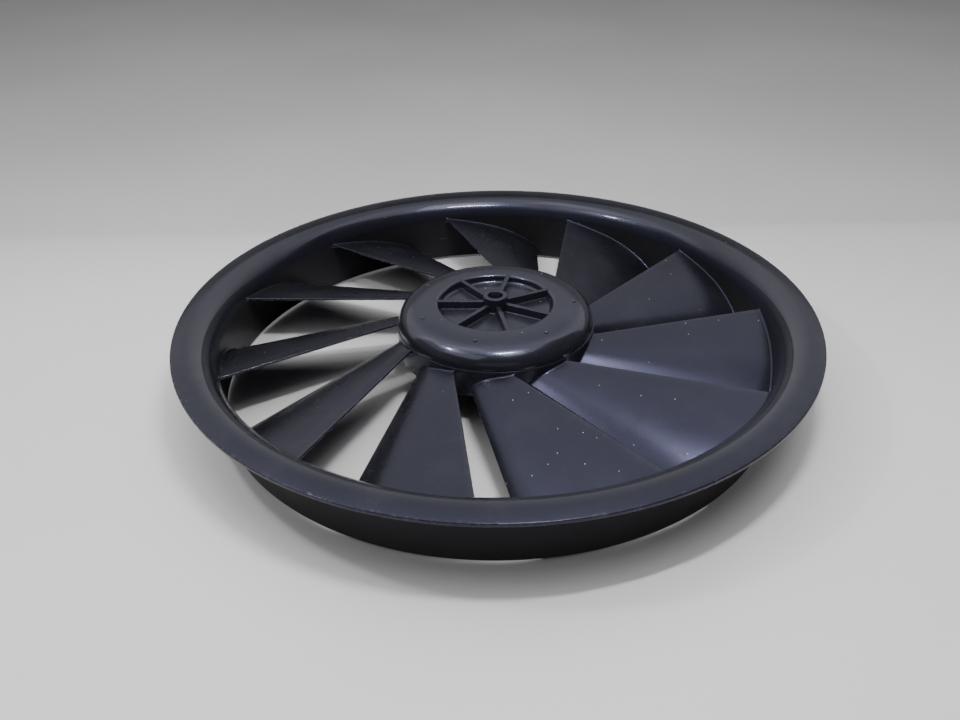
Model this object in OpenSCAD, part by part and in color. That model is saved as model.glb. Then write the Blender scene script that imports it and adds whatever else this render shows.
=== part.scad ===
// Ring-banded axial impeller of a drying blower: a flared outer ring, eleven cambered
// blades and a hollow hub whose boss sits on a motor shaft with a flat.
// Millimetres. Z is the spin axis. Heights are measured from the ring's lower rim, and the
// whole wheel is then raised by foot_gap, so that it stands on its rear sleeve at Z = 0.

/* [Ring] */
// Outer radius of the flared inlet lip
lip_r = 172; // [165:0.5:190]
// Inner radius of the cylindrical band
band_in_r = 150.2; // [146:0.1:152]
// Wall thickness of band and lip
ring_wall = 2; // [1.6:0.1:3]
// Height of the crest of the inlet lip
lip_crest_z = 41.1; // [36:0.1:48]
// Radius of the round that turns the band into the lip
roll_r = 13; // [10:0.5:15]
// How far the outer edge of the lip falls below its crest
lip_fall = 1.2; // [0.4:0.1:2]

/* [Hub] */
// Outer radius of the hub skirt
skirt_r = 54.4; // [52:0.1:58]
// Height of the skirt's lower rim
skirt_low_z = 16; // [10:0.5:20]
// Height of the ledge where the cap sits on the skirt
ledge_z = 31.2; // [31:0.1:33]
// Width of that ledge
ledge_w = 0.4; // [0.2:0.1:0.8]
// Height of the cap's flat top
cap_top_z = 42.7; // [42:0.1:43.5]
// Radius at which the flat top begins to fall
crown_start_r = 38; // [37:0.5:39]
// Radius of the shallow crown between the flat top and the shoulder
crown_r = 25; // [22:1:27]
// Angle that the crown turns through before the shoulder takes over
crown_turn = 22; // [18:1:24]
// Wall thickness of cap and skirt
hub_wall = 2.5; // [2:0.1:3]

/* [Hub recess] */
// Radius of the round recess in the cap
recess_r = 31; // [30:0.1:33]
// Depth of the recess
recess_depth = 4.4; // [4:0.1:7]
// Thickness of the web that floors the recess
web_t = 2.2; // [1.8:0.1:3]
// Fillet where the recess wall meets its floor
web_fillet = 1.6; // [1:0.1:2.5]
// Number of radial ribs, and of pins on the cap
rib_count = 7; // [5:1:9]
// Thickness of a rib
rib_t = 2.2; // [1.6:0.1:3]
// Compass angle of the first pin, with a rib midway between each two pins
pin_first = -2.27; // [-20:0.01:20]
// Radius of the circle of pins
pin_circle_r = 42.7; // [38:0.1:43.5]
// Radius of one pin
pin_r = 0.9; // [0.6:0.1:1.5]
// Height of one pin
pin_h = 0.7; // [0.4:0.1:1.2]

/* [Shaft boss] */
// Radius of the bore for the shaft
bore_r = 4; // [3.5:0.05:5]
// Distance from the axis to the flat in the front of the bore
bore_flat = 3.1; // [2.6:0.05:3.4]
// Outer radius of the front boss
boss_r = 6.7; // [6:0.1:8]
// Height of the front boss above the cap's top
boss_proud = 3.7; // [2:0.1:5]
// Outer radius of the rear sleeve
sleeve_r = 9; // [7:0.1:12]
// How far the sleeve's end stands below the ring's lower rim
foot_gap = 2; // [0.5:0.1:4]
// Length of the relief between the flat and the plain bore
relief_len = 2; // [1.5:0.1:3]
// Radius of that relief
relief_r = 4.6; // [4.3:0.1:5]

/* [Blades] */
// Number of blades
blade_count = 11; // [7:1:11]
// Compass angle of the first blade's leading edge at the tip
lead_tip_a = 3.7; // [-20:0.1:20]
// How far the leading edge sweeps back from tip to root
lead_sweep = 20; // [10:0.5:25]
// Height of the leading edge at the root
lead_root_z = 28.9; // [26:0.1:29.5]
// Height of the leading edge at the tip
lead_tip_z = 28.7; // [26:0.1:31]
// Angle that a blade spans at the root
root_span = 23.7; // [20:0.1:28]
// Angle that a blade spans at the tip
tip_span = 24.5; // [20:0.1:28]
// Height of the trailing edge at the root
trail_root_z = 21.5; // [19:0.1:24]
// Height of the trailing edge at the tip
trail_tip_z = 6.4; // [4:0.1:10]
// Rise of the camber above the chord at the root
root_camber = 1.4; // [0:0.1:3]
// Rise of the camber above the chord at the tip
tip_camber = 3.4; // [0:0.1:5]
// Thickness of a blade
blade_t = 2.2; // [1.6:0.1:3]

/* [Hidden] */
// How deep a blade's ends are let into skirt and band, and a pin's foot into the cap
let_in = 0.4;
// Steps along a blade's chord and along its span
CHORD_STEPS = 14;
SPAN_STEPS = 8;

cap_r = skirt_r - ledge_w;
// The crown is an arc tangent to the flat top; the shoulder is tangent to it and to the wall
crown_c = [crown_start_r, cap_top_z - crown_r];
crown_end = crown_c + crown_r * [sin(crown_turn), cos(crown_turn)];
shoulder_r = (cap_r - crown_end[0]) / (1 - sin(crown_turn));
shoulder_c = crown_end - shoulder_r * [sin(crown_turn), cos(crown_turn)];
web_top_z = cap_top_z - recess_depth;
web_low_z = web_top_z - web_t;
pan_r = recess_r + hub_wall;
boss_top_z = cap_top_z + boss_proud;
roll_c = [band_in_r + roll_r, lip_crest_z - roll_r];
lip_w = lip_r - roll_c[0];
// A shallow arc through the crest of the lip, falling by lip_fall at the outer edge
lip_arc_r = (lip_w * lip_w + lip_fall * lip_fall) / (2 * lip_fall);
pitch = 360 / blade_count;
rib_pitch = 360 / rib_count;
rib_first = pin_first + rib_pitch / 2;
// Height of the crown's surface where the pins stand
pin_foot_z = crown_c[1] + sqrt(pow(crown_r, 2) - pow(pin_circle_r - crown_start_r, 2));

$fn = 96;

// ---- Ring ----

module ring_band() {
  color("#1b1b1d")
    rotate_extrude()
      translate([band_in_r, 0])
        square([ring_wall, roll_c[1]]);
}

// Quarter round that turns outwards, then the nearly flat lip with its square edge
module ring_lip() {
  color("#26262b")
    rotate_extrude()
      union() {
        intersection() {
          translate(roll_c) arc_band(roll_r, ring_wall);
          translate([band_in_r, roll_c[1]]) square(roll_r);
        }
        intersection() {
          translate([roll_c[0], lip_crest_z - lip_arc_r]) arc_band(lip_arc_r, ring_wall);
          translate([roll_c[0], roll_c[1]]) square([lip_w, roll_r]);
        }
      }
}

module arc_band(r, wall) {
  difference() {
    circle(r = r);
    circle(r = r - wall);
  }
}

// ---- Blades ----

function mix(a, b, t) = a + (b - a) * t;
function on_cylinder(r, a, z) = [r * cos(a), r * sin(a), z];
function xy(p) = [p[0], p[1]];

// The point where the straight edge from p to q crosses the cylinder of radius r
function edge_at(p, q, r) =
  let (d = xy(q) - xy(p), a = d * d, b = 2 * (xy(p) * d), c = xy(p) * xy(p) - r * r,
       s = (sqrt(b * b - 4 * a * c) - b) / (2 * a))
  p + s * (q - p);

function compass(p) = atan2(p[1], p[0]);

// Chord stations bunch up at both edges; the camber peaks behind mid-chord
function station(i) = (1 - cos(180 * i / CHORD_STEPS)) / 2;
function camber_shape(t) = sin(180 * pow(t, 1.4));
function thickness_shape(t) = sqrt(max(0, 1 - pow(1 - 2 * t, 14)));

lead_root = on_cylinder(skirt_r, lead_tip_a - lead_sweep, lead_root_z);
lead_tip = on_cylinder(band_in_r, lead_tip_a, lead_tip_z);
trail_root = on_cylinder(skirt_r, lead_tip_a - lead_sweep - root_span, trail_root_z);
trail_tip = on_cylinder(band_in_r, lead_tip_a - tip_span, trail_tip_z);

// One closed section of the blade on the cylinder of radius r; side is +1 above, -1 below
function section_point(r, t, side) =
  let (p = edge_at(lead_root, lead_tip, r), q = edge_at(trail_root, trail_tip, r),
       span = (r - skirt_r) / (band_in_r - skirt_r),
       z = mix(p[2], q[2], t) + mix(root_camber, tip_camber, span) * camber_shape(t))
  on_cylinder(r, mix(compass(p), compass(q), t), z + side * blade_t / 2 * thickness_shape(t));

function section(r) = concat(
  [for (i = [0 : CHORD_STEPS]) section_point(r, station(i), 1)],
  [for (i = [CHORD_STEPS - 1 : -1 : 1]) section_point(r, station(i), -1)]);

module blade() {
  n = 2 * CHORD_STEPS;
  r_in = skirt_r - let_in;
  r_out = band_in_r + let_in;
  points = [for (j = [0 : SPAN_STEPS]) each section(mix(r_in, r_out, j / SPAN_STEPS))];
  sides = [for (j = [0 : SPAN_STEPS - 1], i = [0 : n - 1])
    let (a = j * n + i, b = j * n + (i + 1) % n)
    each [[a, b, b + n], [a, b + n, a + n]]];
  color("#222226")
    polyhedron(points, concat(sides, end_cap(0, true), end_cap(SPAN_STEPS * n, false)), convexity = 4);
}

// Triangles that close one end, strip by strip from the leading edge to the trailing edge
function end_cap(first, flip) =
  [for (i = [0 : CHORD_STEPS - 1])
    let (n = 2 * CHORD_STEPS, a = first + i, b = first + i + 1,
         c = first + n - i - 1, d = first + (n - i) % n)
    each concat(
      i < CHORD_STEPS - 1 ? [flip ? [c, b, a] : [a, b, c]] : [],
      i > 0 ? [flip ? [d, c, a] : [a, c, d]] : [])];

module blade_at(k) {
  rotate(k * pitch) blade();
}

// ---- Hub ----

// Points on an arc about c, with angles measured from straight up towards the outside
function arc(c, r, a0, a1, steps) =
  [for (i = [0 : steps]) let (a = mix(a0, a1, i / steps)) c + r * [sin(a), cos(a)]];

// The cap's outside from the flat top round to the wall, moved inwards by inset
function cap_outline(inset) = concat(
  arc(crown_c, crown_r - inset, 0, crown_turn, 6),
  arc(shoulder_c, shoulder_r - inset, crown_turn, 90, 17));

function reversed(list) = [for (i = [len(list) - 1 : -1 : 0]) list[i]];

// Flat top, crowned shoulder down to the ledge, and the recess wall inside
module hub_cap() {
  color("#1f1f22")
    rotate_extrude()
      intersection() {
        polygon(concat(
          [[recess_r, cap_top_z]], cap_outline(0),
          [[cap_r, 0], [cap_r - hub_wall, 0]], reversed(cap_outline(hub_wall)),
          [[pan_r, cap_top_z - hub_wall], [pan_r, web_low_z], [recess_r, web_low_z]]));
        translate([0, ledge_z]) square([skirt_r, cap_top_z]);
      }
}

module hub_skirt() {
  color("#202023")
    rotate_extrude()
      translate([skirt_r - hub_wall, skirt_low_z])
        square([hub_wall, ledge_z - skirt_low_z]);
}

// Floor of the recess, filleted up to the recess wall
module hub_web() {
  color("#202023")
    rotate_extrude()
      difference() {
        translate([boss_r, web_low_z]) square([recess_r - boss_r, web_t + web_fillet]);
        translate([boss_r - 1, web_top_z]) square([recess_r - web_fillet - boss_r + 1, web_fillet + 1]);
        translate([recess_r - web_fillet, web_top_z + web_fillet]) circle(r = web_fillet);
      }
}

module rib(k) {
  color("#242428")
    rotate(rib_first + k * rib_pitch)
      difference() {
        intersection() {
          translate([0, -rib_t / 2, web_top_z]) cube([recess_r, rib_t, recess_depth]);
          cylinder(r = recess_r, h = cap_top_z);
        }
        cylinder(r = boss_r, h = boss_top_z);
        hub_web();
      }
}

// Front boss with the D-shaped hole that drives the wheel; the flat faces +Y
module front_boss() {
  color("#242428")
    difference() {
      translate([0, 0, web_low_z]) cylinder(r = boss_r, h = boss_top_z - web_low_z);
      translate([0, 0, web_low_z - 1]) cylinder(r = relief_r, h = relief_len + 1);
      intersection() {
        cylinder(r = bore_r, h = boss_top_z + 1);
        translate([-bore_r, -bore_r, 0]) cube([2 * bore_r, bore_r + bore_flat, boss_top_z + 1]);
      }
    }
}

// Plain bore that centres the wheel on the shaft; its rear end seats on the shaft's shoulder
module rear_sleeve() {
  color("#242428")
    difference() {
      translate([0, 0, -foot_gap]) cylinder(r = sleeve_r, h = web_low_z + foot_gap);
      translate([0, 0, -foot_gap - 1]) cylinder(r = bore_r, h = web_low_z + foot_gap + 2);
    }
}

// Small domed pins near the edge of the cap's top, one midway between each pair of ribs
module cap_pins() {
  dome_r = (pin_r * pin_r + pin_h * pin_h) / (2 * pin_h);
  color("#2a2a2f")
    for (k = [0 : rib_count - 1])
      rotate(pin_first + k * rib_pitch)
        translate([pin_circle_r, 0, pin_foot_z])
          intersection() {
            translate([0, 0, pin_h - dome_r]) sphere(r = dome_r);
            translate([0, 0, -let_in]) cylinder(r = pin_r, h = pin_h + 2 * let_in);
          }
}

translate([0, 0, foot_gap]) {
  ring_band();
  ring_lip();
  blade_at(0);  // blade_01
  blade_at(1);  // blade_02
  blade_at(2);  // blade_03
  blade_at(3);  // blade_04
  blade_at(4);  // blade_05
  blade_at(5);  // blade_06
  blade_at(6);  // blade_07
  blade_at(7);  // blade_08
  blade_at(8);  // blade_09
  blade_at(9);  // blade_10
  blade_at(10);  // blade_11
  hub_cap();
  hub_skirt();
  hub_web();
  rib(0);  // rib_1
  rib(1);  // rib_2
  rib(2);  // rib_3
  rib(3);  // rib_4
  rib(4);  // rib_5
  rib(5);  // rib_6
  rib(6);  // rib_7
  front_boss();
  rear_sleeve();
  cap_pins();
}
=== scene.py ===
"""Drying blower wheel: detailed meshes and moulded-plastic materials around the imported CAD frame."""

import math

import bmesh
import bpy
from mathutils import Matrix, Vector


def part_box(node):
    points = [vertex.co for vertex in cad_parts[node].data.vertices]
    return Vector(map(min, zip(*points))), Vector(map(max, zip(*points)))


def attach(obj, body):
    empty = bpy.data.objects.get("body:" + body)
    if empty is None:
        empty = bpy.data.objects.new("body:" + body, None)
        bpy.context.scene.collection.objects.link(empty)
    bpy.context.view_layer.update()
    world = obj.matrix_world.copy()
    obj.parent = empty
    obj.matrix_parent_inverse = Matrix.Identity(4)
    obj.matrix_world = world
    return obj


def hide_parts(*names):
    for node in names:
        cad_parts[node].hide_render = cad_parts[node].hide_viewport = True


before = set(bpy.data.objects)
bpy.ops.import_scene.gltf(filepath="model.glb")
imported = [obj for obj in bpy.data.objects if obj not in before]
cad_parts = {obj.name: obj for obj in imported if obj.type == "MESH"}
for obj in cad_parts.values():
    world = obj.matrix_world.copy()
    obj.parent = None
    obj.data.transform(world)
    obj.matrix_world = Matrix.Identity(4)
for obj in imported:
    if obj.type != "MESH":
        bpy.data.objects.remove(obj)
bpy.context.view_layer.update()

MM = 0.001

# ---- Sizes read from the frame ----

LIP_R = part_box("ring_lip")[1].x
LIP_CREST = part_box("ring_lip")[1].z
BAND_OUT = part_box("ring_band")[1].x
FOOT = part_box("ring_band")[0].z
ROLL_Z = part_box("ring_band")[1].z
ROLL_R = LIP_CREST - ROLL_Z
SKIRT_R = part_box("hub_skirt")[1].x
SKIRT_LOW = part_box("hub_skirt")[0].z
LEDGE_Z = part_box("hub_skirt")[1].z
CAP_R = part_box("hub_cap")[1].x
CAP_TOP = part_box("hub_cap")[1].z
WEB_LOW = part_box("hub_web")[0].z
RECESS_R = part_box("hub_web")[1].x
BOSS_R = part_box("front_boss")[1].x
BOSS_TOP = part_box("front_boss")[1].z
SLEEVE_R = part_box("rear_sleeve")[1].x
SLEEVE_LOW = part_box("rear_sleeve")[0].z

# ---- Sizes of the design, as the CAD has them ----

RING_WALL = 2.0 * MM
BAND_IN = BAND_OUT - RING_WALL
LIP_FALL = 1.2 * MM
HUB_WALL = 2.5 * MM
WEB_T = 2.2 * MM
WEB_TOP = WEB_LOW + WEB_T
WEB_FILLET = 2.2 * MM
CROWN_START = 38.0 * MM
CROWN_R = 25.0 * MM
CROWN_TURN = 22.0
RIB_COUNT = 7
RIB_T = 2.5 * MM
PIN_FIRST = -2.27
PIN_CIRCLE = 42.7 * MM
PIN_R = 1.05 * MM
PIN_H = 0.85 * MM
BORE_R = 4.0 * MM
BORE_FLAT = 3.1 * MM
RELIEF_R = 4.6 * MM
RELIEF_LEN = 2.0 * MM

BLADE_COUNT = 11
PITCH = 360.0 / BLADE_COUNT
LEAD_TIP_A = 3.7
LEAD_SWEEP = 20.0
LEAD_ROOT_Z = FOOT + 28.9 * MM
LEAD_TIP_Z = FOOT + 28.7 * MM
ROOT_SPAN = 23.7
TIP_SPAN = 24.5
TRAIL_ROOT_Z = FOOT + 21.5 * MM
TRAIL_TIP_Z = FOOT + 6.4 * MM
ROOT_CAMBER = 1.4 * MM
TIP_CAMBER = 3.4 * MM
CAMBER_SKEW = 1.4
BLADE_T = 2.1 * MM
EDGE_T = 1.3 * MM

# ---- Finer detail that only the visible meshes carry ----

# Rounds, fillets and edges.
RIM_ROUND = 0.5 * MM
FOOT_ROUND = 0.4 * MM
ROOT_FILLET = 1.1 * MM
TIP_FILLET = 1.1 * MM
NOSE_LEN = 0.7 * MM
TAPER_LEN = 9.0 * MM
TAIL_LEN = 7.0 * MM
TAIL_DROP = 0.22 * MM
RECESS_RIM_ROUND = 2.0 * MM
SMALL_ROUND = 0.3 * MM
LEDGE_ROUND = 0.15 * MM
BOSS_ROUND = 0.5 * MM
BOSS_FILLET = 1.0 * MM
LEAD_IN = 0.35 * MM
SLEEVE_CHAMFER = 0.5 * MM
RIB_FOOT = 0.7 * MM
RIB_DRAFT = 0.12 * MM
PIN_SUNK = 0.3 * MM
SEAM = 0.05 * MM
EDGE_REACH = 1.2 * MM

# Moulding nubs at each blade's leading edge on the skirt: (radius, degrees on from it, height above it).
GATE_R = 0.60 * MM
NUBS = ((GATE_R, 0.5, 0.9 * MM), (0.7 * GATE_R, -0.9, 0.7 * MM))

# Raised lines on the band's inner wall, near each blade's tip: (start and end in degrees from the
# blade's edge, height over the foot).
DASH_H = 0.45 * MM
DASH_PROUD = 0.30 * MM
DASH_SUNK = 0.3 * MM
LEAD_DASH = (-0.1, 2.1, 14.2 * MM)
TRAIL_DASH = (-3.7, -1.4, 4.1 * MM)

# How finely the meshes are cut.
RING_SEGMENTS = 360
HUB_SEGMENTS = 288
WEB_SEGMENTS = 216
SLEEVE_SEGMENTS = 96
NOSE_STEPS = 5
CHORD_STEPS = 26
SPAN_STEPS = 30
SLOPE_STEP = 0.002


# ---- Helpers ----


def mix(a, b, t):
    return a + (b - a) * t


def ramp(value, low, high):
    return max(0.0, min(1.0, (value - low) / (high - low)))


def polar(r, degrees, z):
    a = math.radians(degrees)
    return Vector((r * math.cos(a), r * math.sin(a), z))


def off_axis(p):
    """How far a point is from the wheel's axis."""
    return math.hypot(p.x, p.y)


def arc(cx, cz, r, a0, a1, steps):
    """Profile points (radius, height) on an arc; angles run from straight up, outwards."""
    out = []
    for i in range(steps + 1):
        a = math.radians(mix(a0, a1, i / steps))
        out.append((cx + r * math.sin(a), cz + r * math.cos(a)))
    return out


def new_object(name, bm, smooth_angle=None):
    """A smooth-shaded mesh object from bm, but for edges sharper than smooth_angle."""
    bmesh.ops.recalc_face_normals(bm, faces=bm.faces[:])
    if smooth_angle is not None:
        limit = math.radians(smooth_angle)
        for e in bm.edges:
            if len(e.link_faces) == 2:
                e.smooth = e.calc_face_angle() < limit
    for f in bm.faces:
        f.smooth = True
    mesh = bpy.data.meshes.new(name)
    bm.to_mesh(mesh)
    bm.free()
    obj = bpy.data.objects.new(name, mesh)
    bpy.context.scene.collection.objects.link(obj)
    return obj


def join_rows(bm, rows):
    """Faces between neighbouring closed rows of vertices."""
    n = len(rows[0])
    for a, b in zip(rows, rows[1:]):
        for i in range(n):
            j = (i + 1) % n
            bm.faces.new((a[i], a[j], b[j], b[i]))


def join_rows_and_ends(bm, rows):
    join_rows(bm, rows)
    bm.faces.new(rows[0])
    bm.faces.new(rows[-1])


def circle(bm, centre, radius, height, around):
    """A row of vertices round centre."""
    return [bm.verts.new(centre + polar(radius, 360.0 * i / around, height)) for i in range(around)]


def revolve(bm, profile, segments):
    """Turns a closed profile of (radius, height) points about Z."""
    rows = []
    for i in range(segments):
        a = 360.0 * i / segments
        rows.append([bm.verts.new(polar(r, a, z)) for r, z in profile])
    join_rows(bm, rows + rows[:1])


def lathe(name, profile, segments, smooth_angle=35):
    bm = bmesh.new()
    revolve(bm, profile, segments)
    return new_object(name, bm, smooth_angle)


def bead(bm, centre, radius):
    """A small round nub, half sunk in the surface it stands on."""
    around, rings = 12, 7
    rows = []
    for j in range(1, rings):
        z, r = -radius * math.cos(math.pi * j / rings), radius * math.sin(math.pi * j / rings)
        rows.append(circle(bm, centre, r, z, around))
    join_rows_and_ends(bm, rows)


def mask_attribute(obj, name, weight):
    """Stores weight(point) for each vertex, for a material to read."""
    attribute = obj.data.attributes.new(name, "FLOAT", "POINT")
    attribute.data.foreach_set("value", [weight(v.co) for v in obj.data.vertices])


def finish_piece(obj, material, slot, *nodes):
    """Gives a piece its material, and says which body and CAD nodes it goes with; slot is not used."""
    obj.data.materials.clear()
    obj.data.materials.append(material)
    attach(obj, "root")
    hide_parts(*nodes)
    return obj


# ---- Materials ----

# Sizes of the surface patterns, in cells to the metre.
MOTTLE = 11.0
CLOUD = 90.0
DUST_FILM = 42.0
LINT = 165.0
PITS = 150.0
TURNING = 420.0
TURNING_PATCHES = 35.0
EDGE_PATCHES = 260.0
GRAIN = 2400.0
SINK_WAVES = 22.0
RIPPLES = 85.0

DUST_COLOUR = (0.16, 0.16, 0.17)
LINT_COLOUR = (0.42, 0.42, 0.45)
# Lighter colour for rubbed edges, laid on also as a painted highlight along the lip's edge and the
# blades' leading edges.
RUBBED_AND_HIGHLIGHT_COLOUR = (0.035, 0.035, 0.040)
GLOSS_TINT = (0.65, 0.66, 1.0, 1.0)
PLASTIC_IOR = 1.5
COAT_ROUGHNESS = 0.06

# How strongly the glossy coat and the rubbed edges with their painted highlight show, from 0 to 1.
THROAT_COAT = 0.7
LIP_COAT = 0.05
EDGE_COAT = 0.48
CAP_COAT = 0.55
WEB_COAT = 0.4
PIN_COAT = 1.0
EDGE_WEAR_AND_HIGHLIGHT = 0.8


class Tree:
    """A short way to write a material's nodes."""

    def __init__(self, name):
        self.material = bpy.data.materials.new(name)
        self.material.use_nodes = True
        self.nodes = self.material.node_tree.nodes
        self.links = self.material.node_tree.links
        self.shader = self.nodes["Principled BSDF"]
        self.place = self.add("ShaderNodeTexCoord").outputs["Object"]

    def add(self, kind, **settings):
        node = self.nodes.new(kind)
        for key, value in settings.items():
            setattr(node, key, value)
        return node

    def feed(self, node, socket, value):
        if isinstance(value, bpy.types.NodeSocket):
            self.links.new(value, node.inputs[socket])
        else:
            node.inputs[socket].default_value = value

    def noise(self, scale, detail, roughness):
        node = self.add("ShaderNodeTexNoise")
        self.feed(node, "Vector", self.place)
        self.feed(node, "Scale", scale)
        self.feed(node, "Detail", detail)
        self.feed(node, "Roughness", roughness)
        return node.outputs["Fac"]

    def remap(self, value, low, high, to_low=0.0, to_high=1.0):
        node = self.add("ShaderNodeMapRange", interpolation_type="SMOOTHSTEP")
        self.feed(node, "Value", value)
        self.feed(node, "From Min", low)
        self.feed(node, "From Max", high)
        self.feed(node, "To Min", to_low)
        self.feed(node, "To Max", to_high)
        return node.outputs["Result"]

    def math(self, operation, a, b):
        node = self.add("ShaderNodeMath", operation=operation)
        self.feed(node, 0, a)
        self.feed(node, 1, b)
        return node.outputs["Value"]

    def blend(self, factor, a, b):
        node = self.add("ShaderNodeMix", data_type="RGBA")
        self.links.new(factor, node.inputs["Factor"])
        for socket, value in ((node.inputs[6], a), (node.inputs[7], b)):
            if isinstance(value, bpy.types.NodeSocket):
                self.links.new(value, socket)
            else:
                socket.default_value = (*value, 1.0)
        return node.outputs[2]

    def attribute(self, name):
        return self.add("ShaderNodeAttribute", attribute_name=name).outputs["Fac"]

    def rings(self, scale):
        """Faint circles about the wheel's axis, as a turned mould leaves them."""
        flat = self.add("ShaderNodeVectorMath", operation="MULTIPLY")
        self.feed(flat, 0, self.place)
        self.feed(flat, 1, (1.0, 1.0, 0.0))
        length = self.add("ShaderNodeVectorMath", operation="LENGTH")
        self.feed(length, 0, flat.outputs["Vector"])
        node = self.add("ShaderNodeTexNoise", noise_dimensions="1D")
        self.feed(node, "W", length.outputs["Value"])
        self.feed(node, "Scale", scale)
        self.feed(node, "Detail", 3.0)
        return node.outputs["Fac"]

    def facing_up(self):
        """1 where the surface looks up, 0 where it is upright or looks down."""
        normal = self.add("ShaderNodeNewGeometry").outputs["Normal"]
        split = self.add("ShaderNodeSeparateXYZ")
        self.feed(split, "Vector", normal)
        return self.remap(split.outputs["Z"], 0.35, 0.95)

    def specks(self, scale, size, share):
        """Scattered round dots: one in a cell, in some of the cells."""
        node = self.add("ShaderNodeTexVoronoi")
        self.feed(node, "Vector", self.place)
        self.feed(node, "Scale", scale)
        dot = self.remap(node.outputs["Distance"], size * 0.6, size, 1.0, 0.0)
        pick = self.add("ShaderNodeSeparateColor")
        self.feed(pick, "Color", node.outputs["Color"])
        chosen = self.math("LESS_THAN", pick.outputs["Red"], share)
        return self.math("MULTIPLY", dot, chosen)

    def bump(self, height, strength, distance, under=None):
        node = self.add("ShaderNodeBump")
        self.feed(node, "Height", height)
        self.feed(node, "Strength", strength)
        self.feed(node, "Distance", distance)
        if under is not None:
            self.links.new(under, node.inputs["Normal"])
        return node.outputs["Normal"]


def moulded_plastic(name, base, shade, roughness, grain, specular, specks, worn_and_lit_edges=False,
                    polished=False, turned=False, matt_foot=False, outside=None):
    """Black injection-moulded plastic: flow mottling, grain, and dust, lint and pits on what looks up.

    The edge option, polished, matt_foot and the outer-face option each act where the mesh's attribute
    for it says: rubbed edges that also carry a painted highlight, a thin glossy coat, a rougher surface,
    and a lighter colour that is painted light on an outer face. turned adds faint circles.
    """
    t = Tree(name)
    mottle = t.noise(MOTTLE, 5.0, 0.62)
    cloud = t.noise(CLOUD, 4.0, 0.6)
    colour = t.blend(t.remap(mottle, 0.35, 0.7), base, shade)

    up = t.facing_up()
    film = t.math("MULTIPLY", t.remap(t.noise(DUST_FILM, 8.0, 0.75), 0.45, 0.85, 0.0, 0.06), up)
    colour = t.blend(film, colour, DUST_COLOUR)
    lint = t.math("MULTIPLY", t.specks(LINT, 0.060, specks), up)
    colour = t.blend(t.math("MULTIPLY", lint, 0.8), colour, LINT_COLOUR)
    pits = t.math("MULTIPLY", t.specks(PITS, 0.080, specks), up)

    blotch = t.math("ADD", t.math("MULTIPLY", mottle, 0.6), t.math("MULTIPLY", cloud, 0.4))
    rough = t.remap(blotch, 0.3, 0.7, *roughness)
    rough = t.math("ADD", rough, film)
    rough = t.math("ADD", rough, t.math("MULTIPLY", pits, 0.35))

    if turned:
        patches = t.remap(t.noise(TURNING_PATCHES, 2.0, 0.5), 0.4, 0.65)
        circles = t.math("MULTIPLY", t.rings(TURNING), patches)
        rough = t.math("ADD", rough, t.remap(circles, 0.35, 0.75, 0.0, 0.07))

    if matt_foot:
        rough = t.math("ADD", rough, t.math("MULTIPLY", t.attribute("foot"), 0.25))

    # A lighter colour where the attribute marks an outer face: painted light, for the light falling on
    # the band's outside.
    if outside:
        colour = t.blend(t.attribute("outside"), colour, outside)

    # Rubbed edges painted lighter: partly wear, partly a painted highlight along the edge.
    if worn_and_lit_edges:
        patchy_edge = t.remap(t.noise(EDGE_PATCHES, 6.0, 0.8), 0.52, 0.62)
        worn_and_lit = t.math("MULTIPLY", t.attribute("wear_and_highlight"), patchy_edge)
        colour = t.blend(worn_and_lit, colour, RUBBED_AND_HIGHLIGHT_COLOUR)
        rough = t.math("ADD", rough, t.math("MULTIPLY", worn_and_lit, 0.08))

    normal = t.bump(t.noise(GRAIN, 2.0, 0.6), grain, 0.00005)
    normal = t.bump(t.noise(SINK_WAVES, 2.0, 0.5), 0.05, 0.0012, normal)
    normal = t.bump(t.noise(RIPPLES, 4.0, 0.6), 0.10, 0.0005, normal)
    t.links.new(colour, t.shader.inputs["Base Color"])
    t.links.new(rough, t.shader.inputs["Roughness"])
    t.links.new(normal, t.shader.inputs["Normal"])
    t.shader.inputs["IOR"].default_value = PLASTIC_IOR
    t.shader.inputs["Specular Tint"].default_value = GLOSS_TINT
    t.shader.inputs["Specular IOR Level"].default_value = specular
    if polished:
        t.links.new(t.attribute("polish"), t.shader.inputs["Coat Weight"])
        t.shader.inputs["Coat Roughness"].default_value = COAT_ROUGHNESS
    return t.material


def pale_floor():
    t = Tree("pale_floor")
    tone = t.remap(t.noise(3.0, 3.0, 0.5), 0.3, 0.7)
    colour = t.blend(tone, (0.690, 0.675, 0.640), (0.730, 0.715, 0.680))
    t.links.new(colour, t.shader.inputs["Base Color"])
    t.links.new(t.remap(tone, 0.0, 1.0, 0.55, 0.65), t.shader.inputs["Roughness"])
    return t.material


LIP_PLASTIC = moulded_plastic(
    "lip_plastic", (0.0065, 0.0065, 0.0080), (0.0090, 0.0090, 0.0115), roughness=(0.24, 0.31),
    grain=0.25, specular=0.37, specks=0.15, worn_and_lit_edges=True, polished=True, matt_foot=True)
# The band's outer face is painted lighter than its inner wall: painted light, not a different plastic.
BAND_PLASTIC = moulded_plastic(
    "band_plastic", (0.0130, 0.0126, 0.0120), (0.0170, 0.0165, 0.0157), roughness=(0.38, 0.46),
    grain=0.35, specular=0.18, specks=0.10, outside=(0.0250, 0.0243, 0.0230))
BLADE_PLASTIC = moulded_plastic(
    "blade_plastic", (0.0062, 0.0062, 0.0077), (0.0085, 0.0085, 0.0108), roughness=(0.24, 0.31),
    grain=0.22, specular=0.49, specks=0.50, worn_and_lit_edges=True, polished=True)
HUB_PLASTIC = moulded_plastic(
    "hub_plastic", (0.0115, 0.0115, 0.0143), (0.0150, 0.0150, 0.0183), roughness=(0.22, 0.29),
    grain=0.12, specular=0.46, specks=0.30, polished=True, turned=True)


# ---- Ring ----


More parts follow.
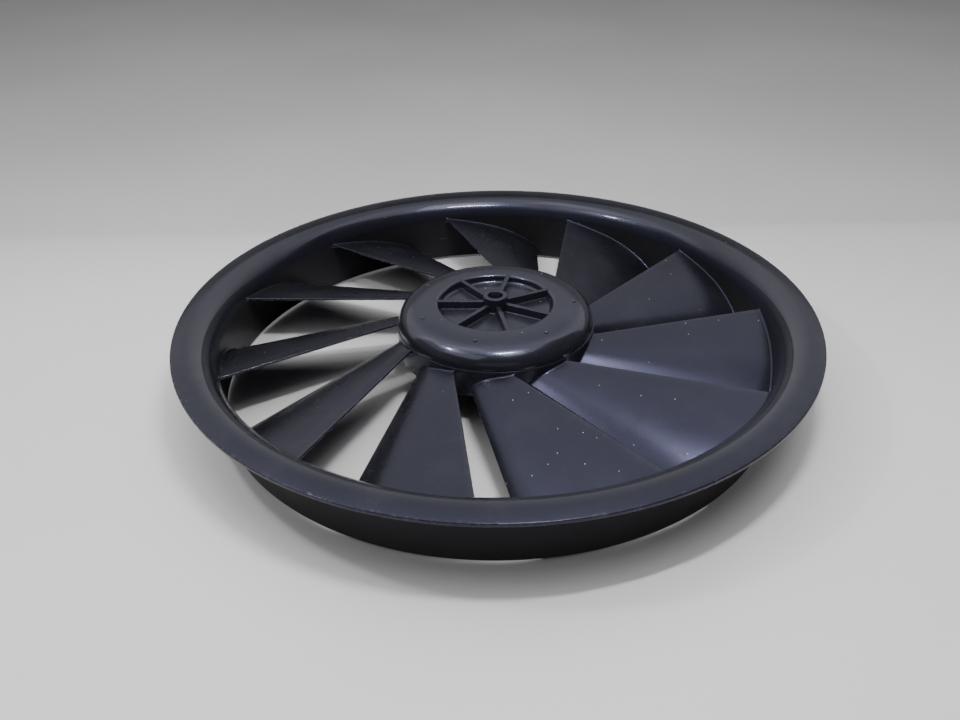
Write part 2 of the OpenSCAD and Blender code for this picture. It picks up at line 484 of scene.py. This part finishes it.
def wall_dash(bm, a0, a1, z):
    """A thin raised line left by the mould on the band's inner wall, between two compass angles."""
    rows = []
    steps = 6
    for i in range(steps + 1):
        fade = math.sin(math.pi * mix(0.08, 0.92, i / steps)) ** 0.3
        proud, half = DASH_PROUD * fade, DASH_H / 2 * fade
        section = ((BAND_IN + DASH_SUNK, -half), (BAND_IN - 0.4 * proud, -half), (BAND_IN - proud, 0.0),
                   (BAND_IN - 0.4 * proud, half), (BAND_IN + DASH_SUNK, half))
        rows.append([bm.verts.new(polar(r, mix(a0, a1, i / steps), z + h)) for r, h in section])
    join_rows_and_ends(bm, rows)


def build_band():
    """Cylindrical band with a softened foot and the mould's short lines between the blades' tips."""
    profile = [(BAND_OUT, ROLL_Z), (BAND_IN, ROLL_Z)]
    profile += arc(BAND_IN + FOOT_ROUND, FOOT + FOOT_ROUND, FOOT_ROUND, 270, 180, 4)
    profile += arc(BAND_OUT - FOOT_ROUND, FOOT + FOOT_ROUND, FOOT_ROUND, 180, 90, 4)
    bm = bmesh.new()
    revolve(bm, profile, RING_SEGMENTS)
    for k in range(BLADE_COUNT):
        lead = LEAD_TIP_A + k * PITCH
        for edge, (start, end, height) in ((lead, LEAD_DASH), (lead - TIP_SPAN, TRAIL_DASH)):
            wall_dash(bm, edge + start, edge + end, FOOT + height)
    obj = new_object("band", bm, 35)
    # Marks the outer face for its lighter colour: painted light.
    mask_attribute(obj, "outside", lambda p: ramp(off_axis(p), BAND_IN + 0.5 * RING_WALL, BAND_OUT))
    return finish_piece(obj, BAND_PLASTIC, "band_plastic", "ring_band")


def build_lip():
    """Quarter-round throat and shallow lip, with a square edge softened above and below."""
    cx = BAND_IN + ROLL_R
    width = LIP_R - cx
    lip_arc = (width * width + LIP_FALL * LIP_FALL) / (2 * LIP_FALL)
    lip_turn = math.degrees(math.asin((width - RIM_ROUND) / lip_arc))
    top = arc(cx, ROLL_Z, ROLL_R, -90, 0, 24)
    top += arc(cx, LIP_CREST - lip_arc, lip_arc, 0, lip_turn, 8)[1:]
    edge_z = top[-1][1] - RIM_ROUND
    top += arc(LIP_R - RIM_ROUND, edge_z, RIM_ROUND, lip_turn, 90, 5)[1:]
    low_z = edge_z - RING_WALL + 2 * RIM_ROUND
    top += arc(LIP_R - RIM_ROUND, low_z, RIM_ROUND, 90, 180, 4)
    under = arc(cx, LIP_CREST - lip_arc, lip_arc - RING_WALL, lip_turn, 0, 6)[1:]
    under += arc(cx, ROLL_Z, ROLL_R - RING_WALL, 0, -90, 14)[1:]
    obj = lathe("lip", top + under, RING_SEGMENTS)

    def up_the_roll(p, low, high):
        return ramp(p.z, ROLL_Z + low * ROLL_R, ROLL_Z + high * ROLL_R)

    def glossy(p):
        outwards = ramp(off_axis(p), BAND_IN + 0.5 * ROLL_R, BAND_IN + 1.1 * ROLL_R)
        return mix(THROAT_COAT, LIP_COAT, outwards) * up_the_roll(p, 0.45, 0.80)

    # Rubbed outer edge of the lip, lightened: real scratches and a painted highlight along the edge.
    mask_attribute(obj, "wear_and_highlight", lambda p: ramp(off_axis(p), LIP_R - 1.6 * MM, LIP_R - 0.4 * MM))
    mask_attribute(obj, "polish", glossy)
    mask_attribute(obj, "foot", lambda p: 1 - up_the_roll(p, 0.20, 0.55))
    return finish_piece(obj, LIP_PLASTIC, "lip_plastic", "ring_lip")


# ---- Blades ----


def edge_at(p, q, r):
    """Where the straight edge from p to q crosses the cylinder of radius r: (compass angle, height)."""
    d = q - p
    a = d.x * d.x + d.y * d.y
    b = 2 * (p.x * d.x + p.y * d.y)
    c = p.x * p.x + p.y * p.y - r * r
    s = (math.sqrt(b * b - 4 * a * c) - b) / (2 * a)
    x = p + s * d
    return math.degrees(math.atan2(x.y, x.x)), x.z


LEAD = (polar(SKIRT_R, LEAD_TIP_A - LEAD_SWEEP, LEAD_ROOT_Z), polar(BAND_IN, LEAD_TIP_A, LEAD_TIP_Z))
TRAIL = (polar(SKIRT_R, LEAD_TIP_A - LEAD_SWEEP - ROOT_SPAN, TRAIL_ROOT_Z),
         polar(BAND_IN, LEAD_TIP_A - TIP_SPAN, TRAIL_TIP_Z))


def mean_line(r, t):
    """A point of the blade's mean line on the cylinder of radius r, as (arc length, height).

    t runs from the leading edge to the trailing one. The line is bowed, and hooked down at the tail.
    """
    a0, z0 = edge_at(*LEAD, r)
    a1, z1 = edge_at(*TRAIL, r)
    span = (r - SKIRT_R) / (BAND_IN - SKIRT_R)
    camber = mix(ROOT_CAMBER, TIP_CAMBER, span) * math.sin(math.pi * t ** CAMBER_SKEW)
    bend = 1 - TAIL_LEN / math.hypot(math.radians(a1 - a0) * r, z1 - z0)
    if t > bend:
        camber += TAIL_DROP * (1 - ((t - bend) / (1 - bend)) ** 2)
    else:
        camber += TAIL_DROP * (3 - 2 * t / bend) * (t / bend) ** 2
    return math.radians(mix(a0, a1, t)) * r, mix(z0, z1, t) + camber


def outline(r, grow):
    """The blade's closed outline on the cylinder of radius r, grown by grow for the end fillets."""
    (s0, z0), (s1, z1) = mean_line(r, 0.0), mean_line(r, 1.0)
    chord = math.hypot(s1 - s0, z1 - z0)
    nose = NOSE_LEN / chord
    quarter = 90.0 / NOSE_STEPS
    stations = [nose * (1 - math.cos(math.radians(quarter * i))) for i in range(NOSE_STEPS + 1)]
    stations += [mix(nose, 1 - nose, i / CHORD_STEPS) for i in range(1, CHORD_STEPS)]
    stations += [1 - s for s in reversed(stations[:NOSE_STEPS + 1])]
    upper, lower = [], []
    for t in stations:
        sa, za = mean_line(r, max(0.0, t - SLOPE_STEP))
        sb, zb = mean_line(r, min(1.0, t + SLOPE_STEP))
        length = math.hypot(sb - sa, zb - za)
        across = Vector((-(zb - za), sb - sa)) / length
        if across.y < 0:
            across = -across
        along = Vector((sb - sa, zb - za)) / length
        d = min(1.0, min(t, 1 - t) / nose)
        thick = mix(EDGE_T, BLADE_T, min(1.0, min(t, 1 - t) * chord / TAPER_LEN)) / 2
        crisp, soft = (1 - (1 - d) ** 4) ** 0.25, math.sqrt(1 - (1 - d) ** 2)
        push = along * grow * (1 - d) * (-1 if t < 0.5 else 1)
        s, z = mean_line(r, t)
        upper.append(Vector((s, z)) + across * (thick * crisp + grow * soft) + push)
        lower.append(Vector((s, z)) - across * (thick * soft + grow * soft) + push)
    return upper + lower[-2:0:-1]


def fillet_growth(d, radius):
    """How much a fillet of this radius adds, at the distance d from the wall it meets."""
    if d >= radius:
        return 0.0
    return radius - math.sqrt(radius * radius - (radius - max(d, 0.0)) ** 2)


def blade_radii():
    """Radii of a blade's sections: close together in its end fillets, even between them."""
    near = (-0.3, 0.0, 0.06, 0.16, 0.32, 0.55, 0.85)
    radii = [SKIRT_R + k * ROOT_FILLET for k in near]
    first, last = SKIRT_R + 1.3 * ROOT_FILLET, BAND_IN - 1.3 * TIP_FILLET
    radii += [mix(first, last, i / SPAN_STEPS) for i in range(SPAN_STEPS + 1)]
    radii += [BAND_IN - k * TIP_FILLET for k in reversed(near)]
    return radii


def build_blade(k):
    bm = bmesh.new()
    rows = []
    for r in blade_radii():
        grow = max(fillet_growth(r - SKIRT_R, ROOT_FILLET), fillet_growth(BAND_IN - r, TIP_FILLET))
        row = []
        for p in outline(r, grow):
            z = min(p.y, LEDGE_Z - SEAM)
            row.append(bm.verts.new(polar(r, math.degrees(p.x / r) + k * PITCH, z)))
        rows.append(row)
    join_rows(bm, rows)
    n = len(rows[0])
    half = n // 2
    for row in (rows[0], rows[-1]):
        for i in range(half):
            face = [row[i], row[i + 1], row[n - i - 1], row[(n - i) % n]]
            bm.faces.new(list(dict.fromkeys(face)))
    obj = new_object(f"blade_{k + 1:02d}_shell", bm, 60)

    def at_the_lead(p):
        """1 on the leading edge, falling to 0 within a short way of it."""
        r = off_axis(p)
        a, _ = edge_at(*LEAD, r)
        off = (math.atan2(p.y, p.x) - math.radians(a + k * PITCH) + math.pi) % (2 * math.pi) - math.pi
        return max(0.0, 1 - abs(off) * r / EDGE_REACH)

    # Lighter leading edge: rubbing and a painted highlight along the edge.
    mask_attribute(obj, "wear_and_highlight", lambda p: EDGE_WEAR_AND_HIGHLIGHT * at_the_lead(p))
    mask_attribute(obj, "polish", lambda p: EDGE_COAT * at_the_lead(p))
    return finish_piece(obj, BLADE_PLASTIC, "blade_plastic", f"blade_{k + 1:02d}")


# ---- Hub ----


def cap_outline(inset):
    """The cap's crown and shoulder down to the ledge, or the same line inset into the wall."""
    turn = math.radians(CROWN_TURN)
    end = (CROWN_START + CROWN_R * math.sin(turn), CAP_TOP - CROWN_R + CROWN_R * math.cos(turn))
    shoulder = (CAP_R - end[0]) / (1 - math.sin(turn))
    centre = (end[0] - shoulder * math.sin(turn), end[1] - shoulder * math.cos(turn))
    points = arc(CROWN_START, CAP_TOP - CROWN_R, CROWN_R - inset, 0, CROWN_TURN, 8)
    points += arc(*centre, shoulder - inset, CROWN_TURN, 90, 26)[1:]
    return [p for p in points if p[1] > LEDGE_Z]


def build_cap():
    """Flat top with a rounded rim round the recess, crown, glossy shoulder, and the hollow behind."""
    rim = RECESS_RIM_ROUND
    profile = [(RECESS_R, WEB_LOW), (RECESS_R, CAP_TOP - rim)]
    profile += arc(RECESS_R + rim, CAP_TOP - rim, rim, -90, 0, 7)[1:]
    profile += cap_outline(0.0)
    profile += [(CAP_R - SEAM, LEDGE_Z), (CAP_R - HUB_WALL, LEDGE_Z)]
    profile += list(reversed(cap_outline(HUB_WALL)))
    profile += [(RECESS_R + HUB_WALL, CAP_TOP - HUB_WALL), (RECESS_R + HUB_WALL, WEB_LOW)]
    obj = lathe("cap_shell", profile, HUB_SEGMENTS)

    def glossy(p):
        r = off_axis(p)
        in_the_rim = 1 - ramp(r, RECESS_R + 0.7 * rim, RECESS_R + rim)
        on_the_shoulder = ramp(r, CAP_R - 9 * MM, CAP_R - 5 * MM)
        return CAP_COAT * (in_the_rim + on_the_shoulder)

    mask_attribute(obj, "polish", glossy)
    return finish_piece(obj, HUB_PLASTIC, "hub_plastic", "hub_cap")


def build_skirt():
    """The cylinder that the blades grow from, with small nubs at their leading edges."""
    inside, low, corner = SKIRT_R - HUB_WALL, SKIRT_LOW + SMALL_ROUND, LEDGE_Z - LEDGE_ROUND
    profile = [(inside, LEDGE_Z), (inside, low)]
    profile += arc(inside + SMALL_ROUND, low, SMALL_ROUND, 270, 180, 3)[1:]
    profile += arc(SKIRT_R - SMALL_ROUND, low, SMALL_ROUND, 180, 90, 3)
    profile += [(SKIRT_R, corner)]
    profile += arc(SKIRT_R - LEDGE_ROUND, corner, LEDGE_ROUND, 90, 0, 3)[1:]
    bm = bmesh.new()
    revolve(bm, profile, HUB_SEGMENTS)
    for k in range(BLADE_COUNT):
        a = LEAD_TIP_A - LEAD_SWEEP + k * PITCH
        for radius, onward, above in NUBS:
            bead(bm, polar(SKIRT_R + 0.3 * GATE_R, a + onward, LEAD_ROOT_Z + above), radius)
    obj = new_object("skirt_shell", bm, 35)
    mask_attribute(obj, "polish", lambda p: ramp(off_axis(p), SKIRT_R, SKIRT_R + 0.1 * MM))
    return finish_piece(obj, HUB_PLASTIC, "hub_plastic", "hub_skirt")


def build_web():
    """Floor of the recess, with a deep fillet up to its wall and a small one round the boss."""
    profile = [(BOSS_R, WEB_LOW), (BOSS_R, WEB_TOP + BOSS_FILLET)]
    profile += arc(BOSS_R + BOSS_FILLET, WEB_TOP + BOSS_FILLET, BOSS_FILLET, 270, 180, 5)[1:]
    profile += arc(RECESS_R - WEB_FILLET, WEB_TOP + WEB_FILLET, WEB_FILLET, 180, 90, 10)
    profile += [(RECESS_R, WEB_LOW)]
    obj = lathe("web_floor", profile, WEB_SEGMENTS)
    mask_attribute(obj, "polish", lambda p: WEB_COAT * ramp(p.z, WEB_TOP, WEB_TOP + 0.3 * MM))
    return finish_piece(obj, HUB_PLASTIC, "hub_plastic", "hub_web")


def build_rib(k):
    """A straight rib with drafted sides, a softened top and a small fillet along its foot."""
    half = RIB_T / 2
    wide = half + RIB_DRAFT + RIB_FOOT
    section = [(wide, WEB_TOP - 0.2 * MM), (wide, WEB_TOP)]
    section += [(wide - RIB_FOOT * math.sin(math.radians(a)),
                 WEB_TOP + RIB_FOOT - RIB_FOOT * math.cos(math.radians(a))) for a in (22, 45, 68, 90)]
    flat, top = half - SMALL_ROUND, CAP_TOP - SMALL_ROUND
    section += [(flat + SMALL_ROUND * math.cos(math.radians(a)),
                 top + SMALL_ROUND * math.sin(math.radians(a))) for a in (0, 30, 60, 90)]
    section += [(-y, z) for y, z in reversed(section)]
    bm = bmesh.new()
    turn = Matrix.Rotation(math.radians(PIN_FIRST + (k + 0.5) * 360.0 / RIB_COUNT), 4, "Z")
    rows = []
    steps = 12
    for i in range(steps + 1):
        row = []
        for y, z in section:
            inner = math.sqrt(max(0.0, (BOSS_R - 0.2 * MM) ** 2 - y * y))
            outer = math.sqrt((RECESS_R + 0.15 * MM) ** 2 - y * y)
            if z > CAP_TOP - RECESS_RIM_ROUND:
                outer += RECESS_RIM_ROUND * 0.9
            row.append(bm.verts.new(turn @ Vector((mix(inner, outer, i / steps), y, z))))
        rows.append(row)
    join_rows_and_ends(bm, rows)
    obj = new_object(f"rib_{k + 1}_shell", bm, 50)
    return finish_piece(obj, HUB_PLASTIC, "hub_plastic", f"rib_{k + 1}")


def d_hole(radius, flat, steps):
    """Points round a hole cut off by a flat on its +Y side, starting from the flat's right end."""
    start = math.degrees(math.asin(flat / radius))
    turn = 360.0 - (180.0 - 2 * start)
    ring = [(radius * math.cos(math.radians(start - turn * i / steps)),
             radius * math.sin(math.radians(start - turn * i / steps))) for i in range(steps + 1)]
    gap = 6
    left, right = ring[-1], ring[0]
    ring += [(mix(left[0], right[0], i / gap), flat) for i in range(1, gap)]
    return ring


def build_boss():
    """Front boss: a chamfered tube whose hole has a flat, with a wider relief at its foot."""
    hole = d_hole(BORE_R, BORE_FLAT, 66)
    angles = [math.atan2(y, x) for x, y in hole]
    relief_top = WEB_LOW + RELIEF_LEN
    corner = arc(BOSS_R - BOSS_ROUND, BOSS_TOP - BOSS_ROUND, BOSS_ROUND, 90, 0, 5)
    levels = [("outer", BOSS_R, WEB_LOW), ("outer", BOSS_R, WEB_TOP + BOSS_FILLET)]
    levels += [("outer", r, z) for r, z in corner]
    levels += [("hole", 1 + LEAD_IN / BORE_R, BOSS_TOP), ("hole", 1.0, BOSS_TOP - LEAD_IN)]
    levels += [("hole", 1.0, relief_top), ("outer", RELIEF_R, relief_top), ("outer", RELIEF_R, WEB_LOW)]
    bm = bmesh.new()
    rows = []
    for kind, size, z in levels:
        if kind == "outer":
            rows.append([bm.verts.new((size * math.cos(a), size * math.sin(a), z)) for a in angles])
        else:
            rows.append([bm.verts.new((x * size, y * size, z)) for x, y in hole])
    join_rows(bm, rows + rows[:1])
    obj = new_object("boss_shell", bm, 40)
    return finish_piece(obj, HUB_PLASTIC, "hub_plastic", "front_boss")


def build_sleeve():
    """The sleeve round the plain part of the bore, chamfered at its free end."""
    cut, low = SLEEVE_CHAMFER, SLEEVE_LOW
    profile = [(BORE_R, WEB_LOW), (BORE_R, low + cut), (BORE_R + cut, low)]
    profile += [(SLEEVE_R - cut, low), (SLEEVE_R, low + cut), (SLEEVE_R, WEB_LOW)]
    obj = lathe("sleeve_shell", profile, SLEEVE_SEGMENTS)
    return finish_piece(obj, HUB_PLASTIC, "hub_plastic", "rear_sleeve")


def build_pins():
    """Seven small domed pins on the crown, in one object."""
    foot_z = CAP_TOP - CROWN_R + math.sqrt(CROWN_R ** 2 - (PIN_CIRCLE - CROWN_START) ** 2)
    dome = (PIN_R * PIN_R + PIN_H * PIN_H) / (2 * PIN_H)
    bm = bmesh.new()
    around = 20
    for k in range(RIB_COUNT):
        centre = polar(PIN_CIRCLE, PIN_FIRST + k * 360.0 / RIB_COUNT, foot_z)
        rows = [circle(bm, centre, PIN_R, -PIN_SUNK, around)]
        for share in (1, 0.85, 0.65, 0.4, 0.2):
            r = PIN_R * share
            rows.append(circle(bm, centre, r, PIN_H - dome + math.sqrt(dome ** 2 - r ** 2), around))
        join_rows_and_ends(bm, rows)
    obj = new_object("pins_shell", bm, 60)
    mask_attribute(obj, "polish", lambda p: PIN_COAT)
    return finish_piece(obj, HUB_PLASTIC, "hub_plastic", "cap_pins")


# ---- Stage, light and camera ----

FLOOR_REACH = 6.0
FLOOR_STEPS = 12

LIGHT_COLOUR = (0.93, 0.935, 1.0)
WORLD_COLOUR = (0.92, 0.95, 1.0, 1.0)
WORLD_STRENGTH = 0.03
DOME_R = 2.0

FILL_HEIGHT = 5.0
FILL_SIZE = (9.0, 9.0)
FILL_RADIANCE = 0.30

# The pale wall behind the wheel: a dim foot, as (x, height, size, radiance), and above it strips, as
# (bottom, top, radiance), brighter upwards.
WALL_Y = 0.20
WALL_FOOT = (-0.10, 0.055, (1.10, 0.10), 0.18)
WALL_X = -0.18
WALL_WIDTH = 1.40
WALL_STRIPS = ((0.12, 0.25, 0.85), (0.25, 0.36, 1.05), (0.36, 0.50, 1.30), (0.50, 0.70, 1.60),
               (0.70, 1.00, 1.75))

# Ceiling panels, facing down: (name, x, y, height, size, radiance).
CEILING = (
    ("ceiling", -0.15, -0.10, 1.010, (1.50, 0.60), 1.50),
    ("ceiling_left", -0.32, 0.05, 0.990, (0.40, 0.30), 1.30))

# Soft lights all round: (name, compass angle, height in degrees, size, radiance).
DOME_LIGHTS = (
    ("left_far", 182, 42, (1.5, 0.9), 0.6),
    ("left_near", 225, 48, (1.3, 0.85), 1.6),
    ("left_low", 190, 16, (3.3, 0.55), 0.15),
    ("right_low", 10, 16, (1.9, 0.55), 0.05),
    ("near_low", 270, 14, (1.6, 0.45), 0.32),
    ("top_near", 300, 68, (0.65, 0.85), 4.0))

# Two small bright lamps aimed at the wheel: (name, place, size, radiance).
LAMPS = (
    ("lamp_left", (-0.369, -0.105, 0.533), (0.05, 0.03), 190.0),
    ("lamp_near", (0.06, -0.173, 0.533), (0.12, 0.02), 240.0))
LAMP_TARGET = (0.0, 0.0, 0.03)

CAMERA_PLACE = Vector((-0.00903, -0.40740, 0.26374 + FOOT))
CAMERA_DOWN = math.radians(32.489)
CAMERA_ROLL = math.radians(1.063)
CAMERA_LENS = 31.575


def build_floor():
    bm = bmesh.new()
    size, steps = FLOOR_REACH, FLOOR_STEPS
    for i in range(steps + 1):
        for j in range(steps + 1):
            bm.verts.new((mix(-size, size, i / steps), mix(-size, size, j / steps), 0.0))
    bm.verts.ensure_lookup_table()
    for i in range(steps):
        for j in range(steps):
            a = i * (steps + 1) + j
            bm.faces.new([bm.verts[k] for k in (a, a + steps + 1, a + steps + 2, a + 1)])
    floor = new_object("floor", bm)
    floor.data.materials.append(pale_floor())


def soft_light(name, place, target, size, radiance):
    """A rectangular light of even brightness, unseen by the camera and aimed at target."""
    data = bpy.data.lights.new(name, "AREA")
    data.shape = "RECTANGLE"
    data.size, data.size_y = size
    data.energy = math.pi * size[0] * size[1] * radiance
    data.color = LIGHT_COLOUR
    light = bpy.data.objects.new(name, data)
    light.location = place
    light.rotation_euler = (Vector(target) - Vector(place)).to_track_quat("-Z", "Y").to_euler()
    light.visible_camera = False
    bpy.context.scene.collection.objects.link(light)
    return light


def dome_light(name, compass, height, size, radiance):
    """A soft light on a dome over the wheel, at a compass angle and a height in degrees."""
    lift = math.radians(height)
    place = polar(DOME_R * math.cos(lift), compass, DOME_R * math.sin(lift))
    soft_light(name, place, (0.0, 0.0, 0.0), size, radiance)


def level_light(name, x, z, size, radiance):
    """A part of the wall, facing the wheel."""
    soft_light(name, (x, WALL_Y, z), (x, 0.0, z), size, radiance)


def build_lights():
    """A high fill, the wall close behind, a ceiling, soft lights all round, and two small lamps."""
    world = bpy.data.worlds.new("studio")
    world.use_nodes = True
    background = world.node_tree.nodes["Background"]
    background.inputs["Color"].default_value = WORLD_COLOUR
    background.inputs["Strength"].default_value = WORLD_STRENGTH
    bpy.context.scene.world = world
    fill = soft_light("fill", (0.0, 0.0, FILL_HEIGHT), (0.0, 0.0, 0.0), FILL_SIZE, FILL_RADIANCE)
    fill.visible_glossy = False
    level_light("wall_foot", *WALL_FOOT)
    for low, high, radiance in WALL_STRIPS:
        level_light("wall_strip", WALL_X, (low + high) / 2, (WALL_WIDTH, high - low), radiance)
    for name, x, y, height, size, radiance in CEILING:
        soft_light(name, (x, y, height), (x, y, 0.0), size, radiance)
    for light in DOME_LIGHTS:
        dome_light(*light)
    for name, place, size, radiance in LAMPS:
        soft_light(name, place, LAMP_TARGET, size, radiance)


def build_camera():
    """Looks along +Y and down, turned a little about its own axis."""
    ahead = Vector((0.0, math.cos(CAMERA_DOWN), -math.sin(CAMERA_DOWN)))
    flat_up = Vector((0.0, math.sin(CAMERA_DOWN), math.cos(CAMERA_DOWN)))
    c, s = math.cos(CAMERA_ROLL), math.sin(CAMERA_ROLL)
    right = Vector((1.0, 0.0, 0.0)) * c - flat_up * s
    up = Vector((1.0, 0.0, 0.0)) * s + flat_up * c
    data = bpy.data.cameras.new("camera")
    data.sensor_width = 36.0
    data.lens = CAMERA_LENS
    data.clip_start = 0.01
    camera = bpy.data.objects.new("camera", data)
    axes = Matrix((right, up, -ahead)).transposed().to_4x4()
    camera.matrix_world = Matrix.Translation(CAMERA_PLACE) @ axes
    bpy.context.scene.collection.objects.link(camera)
    bpy.context.scene.camera = camera


build_camera()
build_lights()
build_floor()
build_band()
build_lip()
for number in range(BLADE_COUNT):
    build_blade(number)
build_cap()
build_skirt()
build_web()
for number in range(RIB_COUNT):
    build_rib(number)
build_boss()
build_sleeve()
build_pins()
